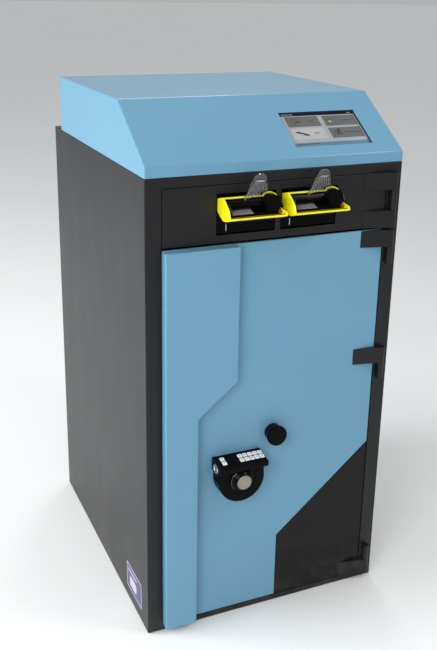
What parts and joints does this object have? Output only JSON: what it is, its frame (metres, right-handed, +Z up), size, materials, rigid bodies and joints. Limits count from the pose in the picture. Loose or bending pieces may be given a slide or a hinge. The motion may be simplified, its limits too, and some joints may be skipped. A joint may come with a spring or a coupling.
{
  "type": "cash deposit safe",
  "caption": "Free-standing smart cash deposit safe with a touch display hood, banknote feeders in an upper door, and a code-locked main door.",
  "frame": {"origin": "centre of the base's underside, on the floor", "axes": "+Z up, -Y out of the front towards the user, +X to the user's right"},
  "size_m": [0.5, 0.652, 1.003],
  "materials": {
    "charcoal_coat": "textured powder coat, satin",
    "blue_coat": "smooth powder coat, semi-gloss",
    "display_glass": "glossy glass over a lit panel",
    "bare_steel": "zinc plated, satin",
    "circuit_board": "solder mask",
    "inlet_plastic": "moulded, satin",
    "unit_plastic": "moulded, fine texture",
    "yellow_plastic": "moulded, semi-gloss",
    "black_plastic": "moulded, satin",
    "clear_plastic": "clear, glossy",
    "key_plastic": "moulded, satin",
    "port_metal": "polished",
    "badge_metal": "satin anodised"
  },
  "bodies": {
    "cabinet": {"side_wall_left": "charcoal_coat", "side_wall_right": "charcoal_coat", "back_wall": "charcoal_coat", "floor_plate": "charcoal_coat", "roof_plate": "charcoal_coat", "sill": "charcoal_coat", "header": "charcoal_coat", "compartment_shelf": "charcoal_coat", "hood_cover": "blue_coat", "touch_display": "display_glass", "display_bracket": "bare_steel", "power_supply": "bare_steel", "controller_board": "circuit_board", "power_inlet": "inlet_plastic", "hinge_knuckle_upper": "charcoal_coat", "hinge_knuckle_high": "charcoal_coat", "hinge_knuckle_middle": "charcoal_coat", "hinge_knuckle_low": "charcoal_coat", "validator_head_left": "unit_plastic", "validator_head_right": "unit_plastic", "note_cassette_left": "unit_plastic", "note_cassette_right": "unit_plastic"},
    "upper_door": {"upper_door_plate": "charcoal_coat", "upper_hinge_arm_high": "charcoal_coat", "upper_hinge_arm_low": "charcoal_coat", "feeder_bezel_left": "yellow_plastic", "feeder_bezel_right": "yellow_plastic", "feeder_body_left": "black_plastic", "feeder_body_right": "black_plastic", "note_guard_left": "clear_plastic", "note_guard_right": "clear_plastic", "upper_lock_case": "bare_steel"},
    "upper_lock_bolt": {"upper_lock_bolt": "bare_steel"},
    "main_door": {"main_door_plate": "blue_coat", "overlay_cover": "blue_coat", "hinge_arm_high": "charcoal_coat", "hinge_arm_middle": "charcoal_coat", "hinge_arm_low": "charcoal_coat", "bolt_guide": "bare_steel", "lock_case": "bare_steel", "lock_housing": "black_plastic", "contact_port": "port_metal"},
    "boltwork": {"bolt_bar": "bare_steel"},
    "bolt_knob": {"bolt_knob": "black_plastic", "knob_crank": "bare_steel"},
    "lock_bolt": {"lock_bolt": "bare_steel"},
    "lock_dial": {"lock_dial": "black_plastic", "dial_badge": "badge_metal"},
    "key_clear": {"key_clear": "key_plastic"},
    "key_enter": {"key_enter": "key_plastic"},
    "key_1": {"key_1": "key_plastic"},
    "key_2": {"key_2": "key_plastic"},
    "key_3": {"key_3": "key_plastic"},
    "key_4": {"key_4": "key_plastic"},
    "key_5": {"key_5": "key_plastic"},
    "key_6": {"key_6": "key_plastic"},
    "key_7": {"key_7": "key_plastic"},
    "key_8": {"key_8": "key_plastic"},
    "key_9": {"key_9": "key_plastic"},
    "key_0": {"key_0": "key_plastic"}
  },
  "joints": [
    {"name": "upper_door_hinge", "type": "hinge", "parent": "cabinet", "child": "upper_door", "pos_m": [0.232, -0.3064, 0.82], "axis": [0, 0, 1], "range_deg": [0, 170]},
    {"name": "main_door_hinge", "type": "hinge", "parent": "cabinet", "child": "main_door", "pos_m": [0.232, -0.3064, 0.39], "axis": [0, 0, 1], "range_deg": [0, 170]},
    {"name": "upper_lock_bolt_slide", "type": "slide", "parent": "upper_door", "child": "upper_lock_bolt", "axis": [-1, 0, 0], "range_m": [0, 0.014]},
    {"name": "boltwork_slide", "type": "slide", "parent": "main_door", "child": "boltwork", "axis": [-1, 0, 0], "range_m": [0, 0.015]},
    {"name": "bolt_knob_turn", "type": "hinge", "parent": "main_door", "child": "bolt_knob", "pos_m": [0.0025, -0.312, 0.387], "axis": [0, -1, 0], "range_deg": [0, 90]},
    {"name": "lock_dial_turn", "type": "hinge", "parent": "main_door", "child": "lock_dial", "pos_m": [-0.0733, -0.336, 0.3155], "axis": [0, -1, 0], "range_deg": [0, 90]},
    {"name": "lock_bolt_slide", "type": "slide", "parent": "main_door", "child": "lock_bolt", "axis": [0, 0, 1], "range_m": [0, 0.007]},
    {"name": "key_clear_press", "type": "slide", "parent": "main_door", "child": "key_clear", "axis": [0, 0.1644, -0.9864], "range_m": [0, 0.001], "stiffness_N_per_m": 600, "springref_m": -0.001},
    {"name": "key_enter_press", "type": "slide", "parent": "main_door", "child": "key_enter", "axis": [0, 0.1644, -0.9864], "range_m": [0, 0.001], "stiffness_N_per_m": 600, "springref_m": -0.001},
    {"name": "key_1_press", "type": "slide", "parent": "main_door", "child": "key_1", "axis": [0, 0.1644, -0.9864], "range_m": [0, 0.001], "stiffness_N_per_m": 600, "springref_m": -0.001},
    {"name": "key_2_press", "type": "slide", "parent": "main_door", "child": "key_2", "axis": [0, 0.1644, -0.9864], "range_m": [0, 0.001], "stiffness_N_per_m": 600, "springref_m": -0.001},
    {"name": "key_3_press", "type": "slide", "parent": "main_door", "child": "key_3", "axis": [0, 0.1644, -0.9864], "range_m": [0, 0.001], "stiffness_N_per_m": 600, "springref_m": -0.001},
    {"name": "key_4_press", "type": "slide", "parent": "main_door", "child": "key_4", "axis": [0, 0.1644, -0.9864], "range_m": [0, 0.001], "stiffness_N_per_m": 600, "springref_m": -0.001},
    {"name": "key_5_press", "type": "slide", "parent": "main_door", "child": "key_5", "axis": [0, 0.1644, -0.9864], "range_m": [0, 0.001], "stiffness_N_per_m": 600, "springref_m": -0.001},
    {"name": "key_6_press", "type": "slide", "parent": "main_door", "child": "key_6", "axis": [0, 0.1644, -0.9864], "range_m": [0, 0.001], "stiffness_N_per_m": 600, "springref_m": -0.001},
    {"name": "key_7_press", "type": "slide", "parent": "main_door", "child": "key_7", "axis": [0, 0.1644, -0.9864], "range_m": [0, 0.001], "stiffness_N_per_m": 600, "springref_m": -0.001},
    {"name": "key_8_press", "type": "slide", "parent": "main_door", "child": "key_8", "axis": [0, 0.1644, -0.9864], "range_m": [0, 0.001], "stiffness_N_per_m": 600, "springref_m": -0.001},
    {"name": "key_9_press", "type": "slide", "parent": "main_door", "child": "key_9", "axis": [0, 0.1644, -0.9864], "range_m": [0, 0.001], "stiffness_N_per_m": 600, "springref_m": -0.001},
    {"name": "key_0_press", "type": "slide", "parent": "main_door", "child": "key_0", "axis": [0, 0.1644, -0.9864], "range_m": [0, 0.001], "stiffness_N_per_m": 600, "springref_m": -0.001}
  ],
  "couplings": [
    {"joint": "bolt_knob_turn", "follows": "boltwork_slide", "rad_per_m": 104.71},
    {"joint": "lock_bolt_slide", "follows": "lock_dial_turn", "m_per_rad": 0.004456}
  ]
}
